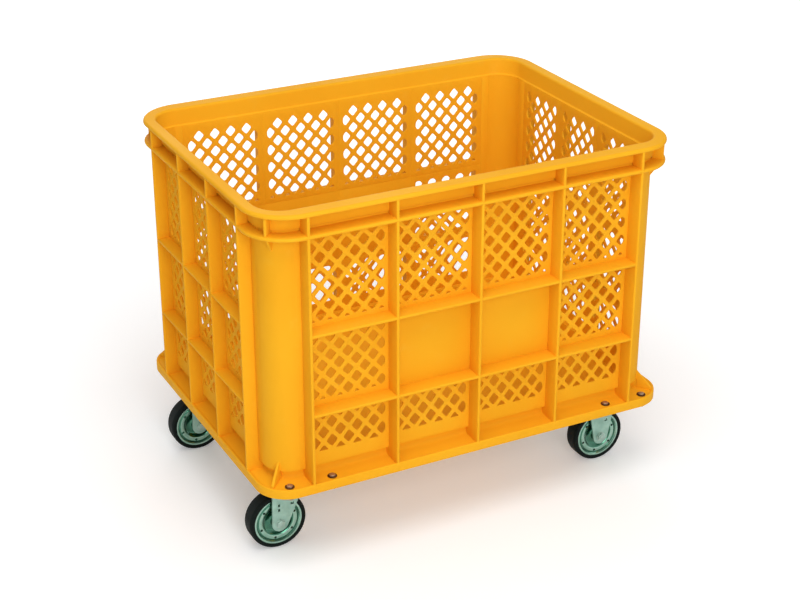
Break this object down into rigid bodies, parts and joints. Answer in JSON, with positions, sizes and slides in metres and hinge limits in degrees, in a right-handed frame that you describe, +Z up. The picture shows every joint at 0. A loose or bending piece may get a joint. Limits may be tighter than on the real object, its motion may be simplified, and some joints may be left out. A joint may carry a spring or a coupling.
{
  "type": "wheeled pallet box",
  "caption": "Open-topped moulded plastic crate with ribbed diamond-mesh walls and rounded corner posts, rolling on swivel and rigid casters to carry harvested produce.",
  "frame": {"origin": "on the floor under the middle of the crate", "axes": "+X along the long sides towards the rigid casters, +Y towards the back long side, +Z up"},
  "size_m": [0.76, 0.565, 0.628],
  "materials": {
    "crate_plastic": "satin moulded polyethylene, yellow-orange",
    "beam_steel": "zinc plated",
    "fastener_steel": "zinc plated",
    "caster_steel": "pressed sheet, zinc plated",
    "wheel_steel": "pressed disc, yellowish zinc",
    "tyre_rubber": "matt black"
  },
  "bodies": {
    "crate": {"front_wall": "crate_plastic", "front_rim": "crate_plastic", "front_rails": "crate_plastic", "front_ribs": "crate_plastic", "front_flange": "crate_plastic", "back_wall": "crate_plastic", "back_rim": "crate_plastic", "back_rails": "crate_plastic", "back_ribs": "crate_plastic", "back_flange": "crate_plastic", "left_wall": "crate_plastic", "left_rim": "crate_plastic", "left_rails": "crate_plastic", "left_ribs": "crate_plastic", "left_flange": "crate_plastic", "right_wall": "crate_plastic", "right_rim": "crate_plastic", "right_rails": "crate_plastic", "right_ribs": "crate_plastic", "right_flange": "crate_plastic", "corner_front_left": "crate_plastic", "corner_front_right": "crate_plastic", "corner_back_left": "crate_plastic", "corner_back_right": "crate_plastic", "floor": "crate_plastic", "floor_ribs": "crate_plastic", "left_beam": "beam_steel", "right_beam": "beam_steel", "beam_bolts": "fastener_steel", "beam_nuts": "fastener_steel", "swivel_plates": "caster_steel", "kingpins": "fastener_steel", "rigid_fork_front": "caster_steel", "rigid_fork_back": "caster_steel", "axle_right_front": "fastener_steel", "axle_right_back": "fastener_steel", "axle_nut_right_front": "fastener_steel", "axle_nut_right_back": "fastener_steel"},
    "swivel_front": {"swivel_fork_front": "caster_steel", "axle_left_front": "fastener_steel", "axle_nut_left_front": "fastener_steel"},
    "swivel_back": {"swivel_fork_back": "caster_steel", "axle_left_back": "fastener_steel", "axle_nut_left_back": "fastener_steel"},
    "wheel_left_front": {"wheel_disc_left_front": "wheel_steel", "tyre_left_front": "tyre_rubber"},
    "wheel_left_back": {"wheel_disc_left_back": "wheel_steel", "tyre_left_back": "tyre_rubber"},
    "wheel_right_front": {"wheel_disc_right_front": "wheel_steel", "tyre_right_front": "tyre_rubber"},
    "wheel_right_back": {"wheel_disc_right_back": "wheel_steel", "tyre_right_back": "tyre_rubber"}
  },
  "joints": [
    {"name": "swivel_turn_front", "type": "hinge", "parent": "crate", "child": "swivel_front", "pos_m": [-0.312, -0.1825, 0.125], "axis": [0, 0, 1], "continuous": true},
    {"name": "swivel_turn_back", "type": "hinge", "parent": "crate", "child": "swivel_back", "pos_m": [-0.312, 0.1825, 0.125], "axis": [0, 0, 1], "continuous": true},
    {"name": "wheel_roll_left_front", "type": "hinge", "parent": "swivel_front", "child": "wheel_left_front", "pos_m": [-0.33, -0.1825, 0.05], "axis": [0, 1, 0], "continuous": true},
    {"name": "wheel_roll_right_front", "type": "hinge", "parent": "crate", "child": "wheel_right_front", "pos_m": [0.3, -0.1825, 0.05], "axis": [0, 1, 0], "continuous": true},
    {"name": "wheel_roll_left_back", "type": "hinge", "parent": "swivel_back", "child": "wheel_left_back", "pos_m": [-0.33, 0.1825, 0.05], "axis": [0, 1, 0], "continuous": true},
    {"name": "wheel_roll_right_back", "type": "hinge", "parent": "crate", "child": "wheel_right_back", "pos_m": [0.3, 0.1825, 0.05], "axis": [0, 1, 0], "continuous": true}
  ]
}
